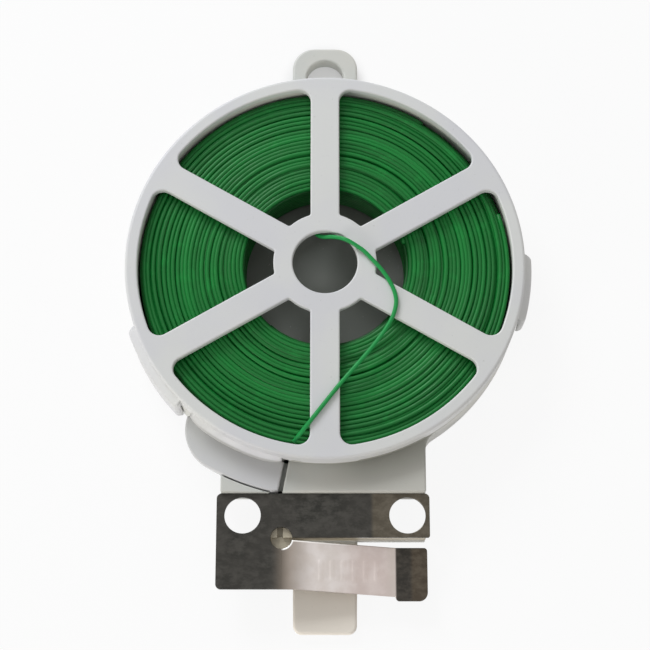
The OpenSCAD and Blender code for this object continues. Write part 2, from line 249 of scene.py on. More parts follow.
def turned(profile, angles, closed=True, cut=np.inf):
    """A profile of (radius, height) turned round Z. cut is a greatest height for each angle.

    A closed profile makes a ring; an open one has its two ends filled with flat discs.
    """
    radius = np.broadcast_to(profile[:, :1], (len(profile), len(angles)))
    height = np.minimum(profile[:, 1:], np.broadcast_to(cut, len(angles)))
    points, faces = grid(np.stack([radius * np.cos(angles), radius * np.sin(angles), height], -1), closed)
    if not closed:
        count = len(angles)
        faces += [list(range(count))[::-1], [len(points) - count + k for k in range(count)]]
    return points, faces


# %% [markdown]
# ## Sizes of the cutter
# The steel's own sizes come first, because its finish follows them as well as its shape: the slit
# starts at a round relief hole, the flap bends just beyond it, slopes back and ends in a lip.

# %% Cutter sizes
RELIEF = np.array([-10.2, -65.2])
RELIEF_R = 2.55
BAND_LOW = -65.1
BEND_X = -7.1
RIDGE_X = 16.5
SLIT_W = 0.6
FLARE = 1.3
SLIT_LEAN = FLARE / (RIDGE_X - BEND_X)
FLAP_TOP = BAND_LOW - SLIT_W

# %% [markdown]
# ## Finishes
# The plastic is a plain white moulding: semi-matt, with a fine grain from the mould, a slow waviness
# and a little dust. Shade is painted into it on the neck and apron beside the rim and on the drum
# floor, with painted warm shade behind the slit and painted light on the tongue. The wire has a
# satin green coat with painted shade where a turn lies deeper. The steel is thin sheet with the
# cloudy stains of handling; its flap carries a painted bright reflection and painted highlights,
# its lip painted shade, and its open end an olive painted reflection.
# All of them read Object coordinates, which are metres here, so a scale of 1000 is one millimetre.

# %% Node helpers


class Finish:
    """A material and the few node moves that the finishes of this spool share."""

    def __init__(self, name):
        self.material = bpy.data.materials.new(name)
        self.material.use_nodes = True
        self.tree = self.material.node_tree
        self.shader = self.tree.nodes["Principled BSDF"]
        self.place = self.add("ShaderNodeTexCoord").outputs["Object"]

    def add(self, kind, **settings):
        node = self.tree.nodes.new(kind)
        for key, value in settings.items():
            setattr(node, key, value)
        return node

    def link(self, source, target):
        self.tree.links.new(source, target)

    def noise(self, scale, detail=3.0, roughness=0.5, stretch=(1, 1, 1)):
        """Cloudy values from 0 to 1; stretch makes them run along an axis."""
        mapping = self.add("ShaderNodeMapping")
        mapping.inputs["Scale"].default_value = stretch
        self.link(self.place, mapping.inputs["Vector"])
        noise = self.add("ShaderNodeTexNoise")
        noise.inputs["Scale"].default_value = scale
        noise.inputs["Detail"].default_value = detail
        noise.inputs["Roughness"].default_value = roughness
        self.link(mapping.outputs["Vector"], noise.inputs["Vector"])
        return noise.outputs["Fac"]

    def ramp(self, value, low, high, low_to=0.0, high_to=1.0):
        """Maps low..high to low_to..high_to, smoothly and clamped."""
        node = self.add("ShaderNodeMapRange", interpolation_type="SMOOTHSTEP")
        for name, number in zip(("From Min", "From Max", "To Min", "To Max"), (low, high, low_to, high_to)):
            node.inputs[name].default_value = number
        self.link(value, node.inputs["Value"])
        return node.outputs["Result"]

    def mix(self, share, first, second):
        """A colour between two; each may be a colour or an output."""
        node = self.add("ShaderNodeMix", data_type="RGBA")
        for name, value in (("Factor", share), ("A", first), ("B", second)):
            socket = node.inputs[name]
            if isinstance(value, bpy.types.NodeSocket):
                self.link(value, socket)
            elif isinstance(value, tuple):
                socket.default_value = (*value, 1)
            else:
                socket.default_value = value
        return node.outputs["Result"]

    def along(self, axis):
        """One object coordinate, in metres."""
        split = self.add("ShaderNodeSeparateXYZ")
        self.link(self.place, split.inputs["Vector"])
        return split.outputs[axis]

    def distance(self, x=0.0, y=0.0):
        """Distance from an upright line through (x, y), in metres."""
        flat = self.add("ShaderNodeVectorMath", operation="MULTIPLY_ADD")
        self.link(self.place, flat.inputs[0])
        flat.inputs[1].default_value = (1, 1, 0)
        flat.inputs[2].default_value = (-x, -y, 0)
        length = self.add("ShaderNodeVectorMath", operation="LENGTH")
        self.link(flat.outputs[0], length.inputs[0])
        return length.outputs["Value"]

    def times(self, first, second):
        node = self.add("ShaderNodeMath", operation="MULTIPLY")
        for socket, value in zip(node.inputs, (first, second)):
            if isinstance(value, bpy.types.NodeSocket):
                self.link(value, socket)
            else:
                socket.default_value = value
        return node.outputs[0]

    def bumps(self, *layers):
        """Stacks bump layers, each an output, a strength and a depth in metres."""
        normal = None
        for height, strength, depth in layers:
            bump = self.add("ShaderNodeBump")
            bump.inputs["Strength"].default_value = strength
            bump.inputs["Distance"].default_value = depth
            self.link(height, bump.inputs["Height"])
            if normal is not None:
                self.link(normal, bump.inputs["Normal"])
            normal = bump.outputs["Normal"]
        self.link(normal, self.shader.inputs["Normal"])

    def set(self, **sockets):
        for name, value in sockets.items():
            self.shader.inputs[name.replace("_", " ")].default_value = value


# %% White plastic


def painted_neck_shade(finish, white):
    """Painted shade on the neck and the apron, darkest beside the rim and to the right.

    The place is a product of masks on position; each is a ramp that goes from 0 to 1.
    """
    x, y, z = (finish.along(axis) for axis in "XYZ")
    level = finish.times(finish.ramp(z, 0.0092, 0.0098), finish.ramp(z, 0.0112, 0.0106))
    place = finish.times(level, finish.ramp(y, -0.0340, -0.0450))
    near_rim = finish.ramp(finish.distance(), 0.0480, 0.0570, 1.0, 0.30)
    to_right = finish.ramp(x, -0.0040, 0.0120, 0.50, 0.95)
    # The grey mixed in here is painted shade under the rim's overhang.
    return finish.mix(finish.times(finish.times(place, near_rim), to_right), white, (0.270, 0.270, 0.235))


def painted_case_shade_and_light(finish, white):
    """Painted shade and light on the case: a dark drum floor, warm shade behind the slit and a lighter, warm
    tongue.
    """
    y, z = finish.along("Y"), finish.along("Z")
    radius = finish.distance()
    # The drum floor inside the coil is darkened: painted shade.
    well = finish.times(finish.ramp(radius, 0.0225, 0.0215), finish.ramp(z, 0.0010, 0.0014))
    white = finish.mix(well, white, (0.150, 0.158, 0.140))
    # Behind the slit the shelf is darker and warmer: painted warm shade.
    at_slit = finish.times(finish.ramp(y, -0.0620, -0.0628), finish.ramp(z, 0.0026, 0.0034))
    white = finish.mix(at_slit, white, (0.460, 0.410, 0.310))
    # The tongue is lighter and warm: painted light, in a warm tone.
    on_tongue = finish.times(finish.ramp(y, -0.0700, -0.0720), finish.ramp(z, 0.0034, 0.0026))
    return finish.mix(on_tongue, white, (0.860, 0.800, 0.715))


def white_plastic(name, cool, warm, dust, case_shading=False):
    """Semi-matt moulding between a cool and a warm white, with mould grain, a little dust and painted shade.
    """
    finish = Finish(name)
    clouds = finish.ramp(finish.noise(45, 3), 0.35, 0.65)
    specks = finish.ramp(finish.noise(900, 4, 0.65), 0.66, 0.74, 0, 0.5)
    white = painted_neck_shade(finish, finish.mix(clouds, cool, warm))
    # The case alone gets the painted shade and light of the drum floor, slit and tongue.
    if case_shading:
        white = painted_case_shade_and_light(finish, white)
    finish.link(finish.mix(specks, white, dust), finish.shader.inputs["Base Color"])
    finish.link(finish.ramp(finish.noise(160, 4), 0.3, 0.7, 0.40, 0.56), finish.shader.inputs["Roughness"])
    finish.set(IOR=1.5)
    finish.bumps((finish.noise(110, 2), 0.5, 0.00006), (finish.noise(3200, 2), 0.25, 0.00001))
    return finish.material


COVER_WHITE = white_plastic("cover_white", (0.645, 0.645, 0.665), (0.675, 0.680, 0.665), (0.46, 0.46, 0.44))
CASE_WHITE = white_plastic("case_white", (0.60, 0.61, 0.58), (0.66, 0.65, 0.60), (0.42, 0.41, 0.38), True)

# %% Green coating


def green_coating(name, shaded_green, lit_green):
    """Satin coated wire whose tone attribute mixes a shaded and a lit green: painted shade on deeper turns.
    """
    finish = Finish(name)
    tone = finish.add("ShaderNodeAttribute", attribute_name="tone").outputs["Fac"]
    shade = finish.mix(tone, shaded_green, lit_green)
    scuffs = finish.ramp(finish.noise(260, 4, 0.6), 0.52, 0.74, 0, 0.4)
    finish.link(finish.mix(scuffs, shade, tuple(1.35 * c for c in lit_green)), finish.shader.inputs["Base Color"])
    finish.link(finish.ramp(finish.noise(400, 2), 0.3, 0.7, 0.38, 0.52), finish.shader.inputs["Roughness"])
    finish.set(Specular_IOR_Level=0.28)
    finish.bumps((finish.noise(1500, 2), 0.3, 0.00002))
    return finish.material


COIL_GREEN = green_coating("coil_green", (0.003, 0.082, 0.012), (0.005, 0.210, 0.033))
# The tail is the same wire in lighter greens: painted light on the end that lies over the cover.
TAIL_GREEN = green_coating("tail_green", (0.006, 0.200, 0.040), (0.010, 0.300, 0.065))

# %% Handled steel


def stained_steel_painted_sheen(name):
    """Sheet steel: fine dark mottling, an olive painted reflection at the open end, and painted sheen on the
    flap.
    """
    finish = Finish(name)
    x, y = finish.along("X"), finish.along("Y")
    mottle = finish.ramp(finish.noise(430, 6, 0.68, (0.8, 1.2, 1)), 0.36, 0.66)
    slow = finish.ramp(finish.noise(95, 3), 0.35, 0.65)
    grey = finish.mix(mottle, (0.030, 0.029, 0.0255), (0.066, 0.063, 0.056))
    grey = finish.mix(finish.times(slow, 0.45), grey, (0.060, 0.056, 0.050))
    # Towards the open end the steel turns olive: a painted reflection.
    olive = finish.mix(mottle, (0.078, 0.067, 0.050), (0.122, 0.106, 0.082))
    plain = finish.mix(finish.ramp(x, 0.0105, 0.0116), grey, olive)
    # The flap: its slope has a painted bright reflection, more pink to the right, and its lip painted shade.
    flap_start = plate_low[1] + 11.5
    on_flap = finish.ramp(y, MM * flap_start, MM * (flap_start - 0.2))
    cloud = finish.ramp(finish.noise(300, 5), 0.35, 0.7)
    left_bright = finish.mix(cloud, (0.590, 0.535, 0.500), (0.665, 0.615, 0.590))
    right_bright = finish.mix(cloud, (0.530, 0.450, 0.420), (0.600, 0.525, 0.495))
    bright = finish.mix(finish.ramp(x, 0.001, 0.009), left_bright, right_bright)
    bright = finish.mix(finish.ramp(x, 0.0138, 0.0160, 0, 0.6), bright, (0.530, 0.475, 0.430))
    # The flap's lower left turns warm brown where the painted reflection starts.
    warm = finish.mix(finish.ramp(x, -0.0128, -0.0075), plain, (0.235, 0.195, 0.158))
    slope = finish.mix(finish.ramp(x, -0.0108, -0.0012), warm, bright)
    lip = finish.mix(mottle, (0.032, 0.029, 0.025), (0.062, 0.055, 0.046))
    # The lip's right half turns brown: a painted reflection.
    lip_reflection = finish.mix(mottle, (0.058, 0.046, 0.033), (0.095, 0.078, 0.058))
    lip = finish.mix(finish.ramp(x, 0.0197, 0.0208), lip, lip_reflection)
    # Painted highlights: along the flap's upper edge, and round the lower right of the relief hole.
    leaning = finish.add("ShaderNodeMath", operation="MULTIPLY_ADD")
    finish.link(x, leaning.inputs[0])
    leaning.inputs[1].default_value = SLIT_LEAN
    finish.link(y, leaning.inputs[2])
    rim = finish.times(finish.ramp(leaning.outputs[0], -0.06652, -0.06635), finish.ramp(x, 0.0090, 0.0010))
    rim = finish.times(rim, finish.ramp(x, -0.0085, -0.0075))
    slope = finish.mix(rim, slope, (0.840, 0.810, 0.770))
    from_relief = finish.distance(*(MM * RELIEF).tolist())
    relief_glint = finish.times(finish.ramp(from_relief, 0.0030, 0.0028), finish.ramp(x, -0.0104, -0.0094))
    slope = finish.mix(relief_glint, slope, (0.860, 0.850, 0.830))
    flap_colour = finish.mix(finish.ramp(x, 0.0163, 0.0168), slope, lip)
    finish.link(finish.mix(on_flap, plain, flap_colour), finish.shader.inputs["Base Color"])
    finish.link(finish.ramp(mottle, 0, 1, 0.44, 0.32), finish.shader.inputs["Roughness"])
    finish.set(Metallic=0.85)
    scratches = finish.noise(1800, 3, 0.6, (0.15, 1, 1))
    finish.bumps((finish.noise(260, 4), 0.3, 0.00004), (mottle, 0.15, 0.00002), (scratches, 0.25, 0.000012))
    return finish.material


STEEL = stained_steel_painted_sheen("stained_steel_painted_sheen")

# %% [markdown]
# ## The free end of the wire
# The last hand's breadth of wire comes out of the coil under the cover, rises through the hub hole,
# lies over the ring, one spoke and two windows, and is pushed down beside the rim. It is a stiff
# wire, so it keeps one easy curve and does not sag between the spokes. The route repeats the points
# of the part's source, and a smooth curve through them carries a round section.

# %% Wire tail
WIRE = 1.0
TAIL_ROUTE = np.array([
    (0.9, 18.3, 9.2), (-0.5, 16.9, 9.9), (-1.9, 15, 10.6), (-2.8, 12.9, 11.3), (-3, 10.7, 12),
    (-2.6, 8.8, 12.7), (-1.6, 7.5, 13.4), (-0.2, 6.8, 14.3), (1.6, 6.5, 15.3), (3.3, 6, 16.2),
    (4.9, 5.3, 16.9), (6.5, 4.4, 17), (7.9, 3.5, 16.8), (9.4, 2.4, 16.7), (11.1, 0.6, 16.6),
    (13.2, -1.8, 16.6), (15, -4.4, 16.6), (16.4, -7.3, 16.6), (16.9, -10.2, 16.6),
    (16.2, -13.4, 16.6), (14.7, -16.3, 16.6), (12.7, -19.2, 16.6), (10.7, -21.8, 16.6),
    (8.6, -24.3, 16.6), (6.2, -27.1, 16.6), (3.8, -29.9, 16.6), (1.4, -32.9, 16.6),
    (-1, -36, 16.6), (-3.1, -38.7, 16.6), (-4.9, -40.9, 16.1), (-6.2, -42.4, 15.1),
    (-7.2, -43.4, 14.1),
])


def smooth_route(route, count):
    """Catmull-Rom curve: each stretch bends with the points before and after it."""
    padded = np.concatenate([route[:1], route, route[-1:]])
    t = np.linspace(0, 1, count, endpoint=False)[None, :, None]
    a, b, c, d = (padded[k:len(route) - 1 + k, None] for k in range(4))
    curve = 2 * b + (c - a) * t + (2 * a - 5 * b + 4 * c - d) * t ** 2 + (3 * b - a - 3 * c + d) * t ** 3
    curve *= 0.5
    return np.concatenate([curve.reshape(-1, 3), route[-1:]])


def tube(path, radius, sides):
    """A round section carried along a path, with a rounded cap at each end."""
    ahead = np.gradient(path, axis=0)
    ahead /= np.linalg.norm(ahead, axis=1, keepdims=True)
    side = np.cross(ahead, (0, 0, 1))
    side /= np.linalg.norm(side, axis=1, keepdims=True)
    above = np.cross(side, ahead)
    t = np.radians(np.linspace(0, 360, sides, endpoint=False))
    ring = side[:, None] * np.cos(t)[:, None] + above[:, None] * np.sin(t)[:, None]
    points = path[:, None] + radius * ring
    nose = np.radians([75, 45, 0])[:, None, None]
    start = path[0] + radius * (ring[0] * np.cos(nose) - 0.5 * ahead[0] * np.sin(nose))
    end = path[-1] + radius * (ring[-1] * np.cos(nose[::-1]) + 0.5 * ahead[-1] * np.sin(nose[::-1]))
    points = np.concatenate([start[:-1], points, end[1:]])
    surface, faces = grid(points)
    last = len(points) - 1
    faces += [list(range(sides))[::-1], [last * sides + k for k in range(sides)]]
    return surface, faces


def tone_along(made, values):
    """Stores one tone value for each point of the mesh."""
    layer = made.data.attributes.new("tone", "FLOAT", "POINT")
    layer.data.foreach_set("value", np.asarray(values, np.float32))


tail_path = smooth_route(TAIL_ROUTE, 6)
tail_length = np.linalg.norm(np.diff(tail_path, axis=0), axis=1).sum()
tail = make_piece("wire_tail_end", tube(tail_path, WIRE / 2, 14), TAIL_GREEN, "cover",
                  ["wire_tail"])
tone_along(tail, np.full(len(tail.data.vertices), 0.75))
print(f"wire tail: {tail_length:.1f} mm long")

# %% [markdown]
# ## The coil
# Fifty metres of wire lie in the drum in many layers. Only the top layer, the one below it and the
# two round faces can ever be seen. Each is one long strand that winds evenly, except that real turns
# crowd, part and dip a little. That unevenness is a slow wave that neighbouring turns share, so they
# never cross. The turns are pressed against each other, so they are drawn a little thicker than the
# wire. A tone attribute darkens the deeper turns as painted shade, and varies a little from turn to turn.

# %% Strands
COIL_IN = 20.0
COIL_OUT = core_high[0] - WIRE / 2
COIL_TOP = winding_high[2] - WIRE / 2
RINGS_PER_TURN = 120
rng = np.random.default_rng(11)


def strand(radii, heights, wave, dip, phase):
    """A wire whose turn k has radius radii[k] and height heights[k], waving and dipping as it goes."""
    turns = len(radii) - 1
    t = np.linspace(0, turns, turns * RINGS_PER_TURN + 1)
    angle = 2 * np.pi * t + phase
    radius = np.interp(t, np.arange(turns + 1), radii)
    height = np.interp(t, np.arange(turns + 1), heights)
    radius = radius + wave * (np.sin(2 * angle + 0.22 * radius) + 0.6 * np.sin(5 * angle - 0.31 * radius))
    lift = np.sin(3 * angle + 0.9 * radius) + np.sin(4 * angle - 1.7 * radius + 1)
    height = height + dip * (lift - 2) / 4
    path = np.column_stack([radius * np.cos(angle), radius * np.sin(angle), height])
    return path, t


def tones(path, t, base, spread):
    """A tone for each ring: a value per turn, softened from one turn to the next."""
    own = base + spread * rng.uniform(-1, 1, int(t[-1]) + 2)
    return np.clip(np.interp(t, np.arange(len(own)), own), 0, 1)


def crowded(first, last, turns, looseness):
    """Radii from first to last in uneven steps, as turns crowd together and part."""
    steps = 1 + looseness * rng.uniform(0, 1, turns) ** 3
    return first + (last - first) * np.concatenate([[0], np.cumsum(steps) / steps.sum()])


STRAND_SIDES = 8
PRESSED_R = 0.59
top_turns = crowded(COIL_IN, COIL_OUT, 23, 1.3)
under_turns = crowded(COIL_OUT - 0.4, COIL_IN + 0.4, 21, 0.6)
# Single turns have sunk in a little, and the outermost two lie deepest.
top_heights = COIL_TOP - 0.42 * rng.uniform(0, 1, len(top_turns)) ** 2.5
top_heights[-2:] = COIL_TOP - 0.5
face_heights = np.linspace(COIL_TOP - WIRE, core_low[2] + WIRE / 2, 9)
# Each layer: radii, heights, wave, dip, phase, and the tone's base and spread. A lower base is painted shade
# on the layer below and the round faces.
layers = [
    (top_turns, top_heights, 0.10, 0.40, 0.3, 0.64, 0.24),
    (under_turns, np.full(len(under_turns), COIL_TOP - 0.6), 0.10, 0.3, 2.1, 0.5, 0.2),
    (np.full(len(face_heights), COIL_IN), face_heights, 0.05, 0.05, 4.0, 0.05, 0.1),
    (np.full(len(face_heights), COIL_OUT), face_heights, 0.05, 0.05, 1.0, 0.4, 0.2),
]
surfaces, tone_values = [], []
for radii, heights, wave, dip, phase, base, spread in layers:
    path, t = strand(radii, heights, wave, dip, phase)
    surfaces.append(tube(path, PRESSED_R, STRAND_SIDES))
    ring_tone = tones(path, t, base, spread)
    ring_tone = np.concatenate([ring_tone[:1]] * 2 + [ring_tone] + [ring_tone[-1:]] * 2)
    tone_values.append(np.repeat(ring_tone, STRAND_SIDES))

# The imported turns between the strands, as one plain ring just under their surface, in the darkest tone as
# painted shade.
packed = round_corners([
    (COIL_IN + 0.2, core_low[2]), (COIL_OUT - 0.2, core_low[2]),
    (COIL_OUT - 0.2, COIL_TOP - 1.6), (COIL_IN + 0.2, COIL_TOP - 1.6)], 0.3)
surfaces.append(turned(packed, np.radians(np.linspace(0, 360, 180, endpoint=False))))
tone_values.append(np.full(len(surfaces[-1][0]), 0.05))
coil = make_piece("wire_coil", join(*surfaces), COIL_GREEN, "coil",
                  ["coil_core", "coil_winding"])
tone_along(coil, np.concatenate(tone_values))

# %% [markdown]
# ## The cover
# The cover is one moulding: a flat rim, six spokes and a hub ring in one plane, and a skirt that
# hangs from the rim. Its windows meet the rim in round corners and the hub in small ones. The
# outline's section is special: it starts under the face, runs down inside the skirt, round its foot
# and up the outside. Two shallow reliefs lift the skirt's foot beside the neck.

# %% Cover sizes
DRUM_R = 48.0
SKIRT_T = 1.1
RIM_W = 3.0
SPOKE_W = 7.0
HUB_R = 12.4
HUB_HOLE_R = 7.8
WINDOW_R = 2.8
HUB_CORNER_R = 0.7
COVER_TOP = cover_high[2]
FACE_Z = COVER_TOP - 1.8
LEDGE_Z = 10.5
SKIRT_RELIEFS = (225.7, 227.8), (260, 264), (279, 300)
EDGE_OUT = 0.7
EDGE_IN = 0.35

# %% Windows


def window():
    """The window between the spokes at 0 and 60 degrees, mirrored about its middle at 30."""
    rim = DRUM_R - RIM_W
    side = SPOKE_W / 2 + WINDOW_R
    far = math.sqrt((rim - WINDOW_R) ** 2 - side ** 2)
    near_side = SPOKE_W / 2 + HUB_CORNER_R
    near = math.sqrt((HUB_R + HUB_CORNER_R) ** 2 - near_side ** 2)
    far_angle = math.degrees(math.atan2(side, far))
    near_angle = math.degrees(math.atan2(near_side, near))
    half = np.concatenate([
        arc((0, 0), HUB_R, 30, near_angle, 8)[:-1],
        arc((near, near_side), HUB_CORNER_R, 180 + near_angle, 270, 6),
        arc((far, side), WINDOW_R, -90, far_angle, 10),
        arc((0, 0), rim, far_angle, 30, 14)[1:],
    ])
    c, s = math.cos(math.radians(60)), math.sin(math.radians(60))
    mirrored = half @ np.array([[c, s], [s, -c]])
    return np.concatenate([half, mirrored[-2:0:-1]])


def turn_by(loop, degrees):
    """The loop turned about the hub."""
    c, s = math.cos(math.radians(degrees)), math.sin(math.radians(degrees))
    return loop @ np.array([[c, s], [-s, c]])


# %% Cover face, skirt and lugs
rim_loop = arc((0, 0), DRUM_R, 0, 360, 361)[:-1]
around = np.degrees(np.arctan2(rim_loop[:, 1], rim_loop[:, 0])) % 360
relief = sum(np.clip(np.minimum(around - low, high - around), 0, 1) for low, high in SKIRT_RELIEFS)
foot = LEDGE_Z + 0.02 + 0.9 * relief
quarter = np.radians(np.linspace(0, 90, 6))
rim_section = [
    (SKIRT_T, FACE_Z), (SKIRT_T, foot + 0.2), (SKIRT_T - 0.2, foot), (0.25, foot), (0, foot + 0.25)]
rim_section += [(EDGE_OUT * (1 - math.cos(a)), COVER_TOP - EDGE_OUT * (1 - math.sin(a))) for a in quarter]
windows = [turn_by(window(), 30 + 60 * k) for k in range(6)]
hub_hole = arc((0, 0), HUB_HOLE_R, 0, 360, 97)[:-1]
window_section = rounded_section(FACE_Z, COVER_TOP, 0.15, EDGE_IN)
cover_face = slab(rim_loop, windows + [hub_hole], rim_section, window_section)


LUG_IN = DRUM_R + 0.35


def arc_bar(section, start, end, taper):
    """A section of (radius, height) carried along an arc, drawn in towards the drum at both ends."""
    angles = np.radians(np.linspace(start, end, 41))
    from_end = np.degrees(np.minimum(angles - angles[0], angles[-1] - angles))
    swell = np.sqrt(np.clip(1 - (1 - np.clip(from_end / taper, 0, 1)) ** 2, 0.12, 1))
    proud = np.clip(section[:, 0] - LUG_IN, 0, None)
    radius = (section[:, 0] - proud)[:, None] + proud[:, None] * swell
    height = np.broadcast_to(section[:, 1:], radius.shape)
    points = np.stack([radius * np.cos(angles), radius * np.sin(angles), height], -1).swapaxes(0, 1)
    surface, faces = grid(points)
    count = len(section)
    faces = [face[::-1] for face in faces]
    faces += [list(range(count)), [len(surface) - 1 - k for k in range(count)]]
    return surface, faces


def lug_section(low, high, thick):
    """A lug seen end on: it leaves the skirt with a slope and hangs outside the wall below it."""
    return round_corners(
        [(DRUM_R - 0.4, LEDGE_Z + 0.4), (LUG_IN, LEDGE_Z + 0.2), (LUG_IN, low), (LUG_IN + thick, low),
         (LUG_IN + thick, high - 1.6), (DRUM_R - 0.4, high)], [0, 0, 0.25, 0.45, 0.9, 0.2])


left_lug = arc_bar(lug_section(2.5, 15.2, 1.45), 199, 225.2, 1.2)
right_lug = arc_bar(lug_section(5, 14.6, 1.45), -17, 3, 1.6)

# %% Apron
APRON_R = LUG_IN + 7.6
APRON_CORNER = 10.0
APRON_START, APRON_END = 228.0, 258.5
NECK_TOP = 10.2
APRON_LOW = NECK_TOP - 3
PLATE_GAP = 0.3
corner_at = APRON_R - APRON_CORNER
between = LUG_IN ** 2 - APRON_CORNER ** 2
corner_angle = APRON_START + math.degrees(math.acos((corner_at ** 2 + between) / (2 * corner_at * LUG_IN)))
corner_sweep = math.degrees(math.acos((between - corner_at ** 2) / (2 * corner_at * APRON_CORNER)))
corner_centre = corner_at * arc((0, 0), 1, corner_angle, corner_angle, 1)[0]
front_y = plate_high[1] + PLATE_GAP
front_angle = 180 + math.degrees(math.asin(-front_y / APRON_R))
apron_loop = np.concatenate([
    [(front_y / math.tan(math.radians(APRON_END)), front_y)],
    arc((0, 0), APRON_R, front_angle, corner_angle, 22)[:-1],
    arc(corner_centre, APRON_CORNER, corner_angle, corner_angle - corner_sweep, 24)[:-1],
    arc((0, 0), LUG_IN + 0.2, APRON_START + 0.5, APRON_END, 26),
])
apron = slab(apron_loop, [], rounded_section(APRON_LOW, NECK_TOP, 0.15, 0.4, 5))
rise = arc_bar(round_corners(
    [(DRUM_R - 0.4, LEDGE_Z + 0.3), (LUG_IN + 0.4, LEDGE_Z + 0.2), (LUG_IN + 0.4, NECK_TOP - 0.5),
     (LUG_IN + 1.4, NECK_TOP - 0.5), (LUG_IN + 0.5, LEDGE_Z + 0.8), (DRUM_R - 0.4, LEDGE_Z + 2)],
    [0, 0, 0, 0, 0.6, 0.2]), APRON_START + 1, APRON_END - 0.5, 7)
cover = make_piece("cover_shell", join(cover_face, left_lug, right_lug, apron, rise), COVER_WHITE, "cover",
                   ["front_cover"])
even_normals(cover)

# %% [markdown]
# ## The rear case
# The drum is a turned profile: floor, wall, ledge and the thin upper wall inside the cover. The wire
# leaves through a slot, which is a notch in the wall's height at one angle. The tab, neck, shelf and
# tongue are slabs that grow out of it. Each starts a hair higher than the last, so no two lower
# faces lie in one plane.

# %% Drum
FLOOR_T = 2.0
WALL_IN = 45.2
WALL_T = 1.4
SLOT_ANGLE = 259.0
SLOT_W = 1.3
SLOT_Z = 6.2
drum_profile = round_corners([
    (5, 0), (DRUM_R, 0), (DRUM_R, LEDGE_Z), (WALL_IN + WALL_T, LEDGE_Z),
    (WALL_IN + WALL_T, FACE_Z - 0.3), (WALL_IN, FACE_Z - 0.3), (WALL_IN, FLOOR_T), (5, FLOOR_T)],
    [0, 0.6, 0.3, 0.05, 0.25, 0.25, 0.6, 0])
slot_half = math.degrees(SLOT_W / 2 / DRUM_R)
slot_edges = SLOT_ANGLE + slot_half * np.array([-1, -0.999, 0.999, 1])
turn_angles = np.sort(np.concatenate([np.linspace(0, 360, 288, endpoint=False), slot_edges]))
in_slot = np.abs(turn_angles - SLOT_ANGLE) < slot_half * 0.9995
drum = turned(drum_profile, np.radians(turn_angles), closed=False, cut=np.where(in_slot, SLOT_Z, 99))

# %% Tab
TAB_T = 3.6
TAB_HALF = 8.2
TAB_CORNER = 5.5
TAB_FLARE = 3.0
TAB_HOLE_R = 4.7
TAB_HOLE_Y = 53.2
IN_WALL_R = 46.6
tab_top = case_high[1]
web_x = TAB_HALF + TAB_FLARE
web_y = math.sqrt((DRUM_R + TAB_FLARE) ** 2 - web_x ** 2)
web_end = 180 + math.degrees(math.atan2(web_y, web_x))
tab_side = np.concatenate([
    arc((web_x, web_y), TAB_FLARE, web_end, 180, 9),
    arc((TAB_HALF - TAB_CORNER, tab_top - TAB_CORNER), TAB_CORNER, 0, 90, 13),
])
tab_loop = np.concatenate([tab_side, (tab_side * (-1, 1))[::-1], arc((0, 0), IN_WALL_R, 103, 77, 15)])
tab_hole = arc((0, TAB_HOLE_Y), TAB_HOLE_R, 0, 360, 73)[:-1]
tab = slab(tab_loop, [tab_hole], rounded_section(0.01, TAB_T, 0.3, 0.55, 5))

# %% Neck with its wire slot and the apron's pocket
NECK_STEP = -plate_high[1]
NECK_L, NECK_R = -24.5, 23.7
NECK_FILLET = 5.0
FOOT_ROOT = -43.0
SLOT_HEAD = -46.2
SHELF_FRONT = -65.0
POCKET_R = APRON_R + 0.3
knee_y = -NECK_STEP - SLOT_W / 2
knee_x = knee_y / math.tan(math.radians(SLOT_ANGLE))


def slot_side(y, side):
    """The point of one side of the wire slot on a line of constant Y.

    The slot runs straight out from the hub's axis, and bends at the knee to end at the relief hole.
    """
    middle = np.interp(y, [SHELF_FRONT - 0.1, knee_y, 0], [-10.2, knee_x, 0])
    return middle + side * SLOT_W / 2, y


fillet_x = NECK_R + NECK_FILLET
fillet_y = -math.sqrt((DRUM_R + NECK_FILLET) ** 2 - fillet_x ** 2)
fillet_end = math.degrees(math.atan2(-fillet_y, -fillet_x))
drum_end = math.degrees(math.atan2(fillet_y, fillet_x))
pocket_start = 360 - math.degrees(math.acos(NECK_L / POCKET_R))
pocket_end = 180 + math.degrees(math.asin(NECK_STEP / POCKET_R))
pocket = arc((0, 0), POCKET_R, pocket_end, pocket_start, 14)
step_y = -NECK_STEP
foot_loop = round_corners(
    [(NECK_L, FOOT_ROOT), (NECK_L, step_y), (NECK_R, step_y), (NECK_R, FOOT_ROOT)], [0, 0.6, 0.6, 0])
right_loop = np.concatenate([
    [slot_side(SLOT_HEAD, 1), slot_side(step_y, 1), (NECK_R - 0.5, step_y), (NECK_R, step_y + 0.5)],
    arc((fillet_x, fillet_y), NECK_FILLET, 180, fillet_end, 9),
    arc((0, 0), IN_WALL_R, drum_end, SLOT_ANGLE - 360 + 2, 18)])
left_loop = np.concatenate([[(NECK_L, step_y + 0.4), (NECK_L + 0.4, step_y)], pocket])
floor_corners = (SLOT_HEAD, -1.05), (step_y, -1.05), (step_y, 1.05), (SLOT_HEAD, 1.05)
slot_floor_loop = np.array([slot_side(y, side) for y, side in floor_corners])
pocket_floor_loop = np.array([
    slot_side(SLOT_HEAD, -1), (NECK_L, -40), (NECK_L, step_y + 0.4), (NECK_L + 0.4, step_y),
    slot_side(step_y, -1)])
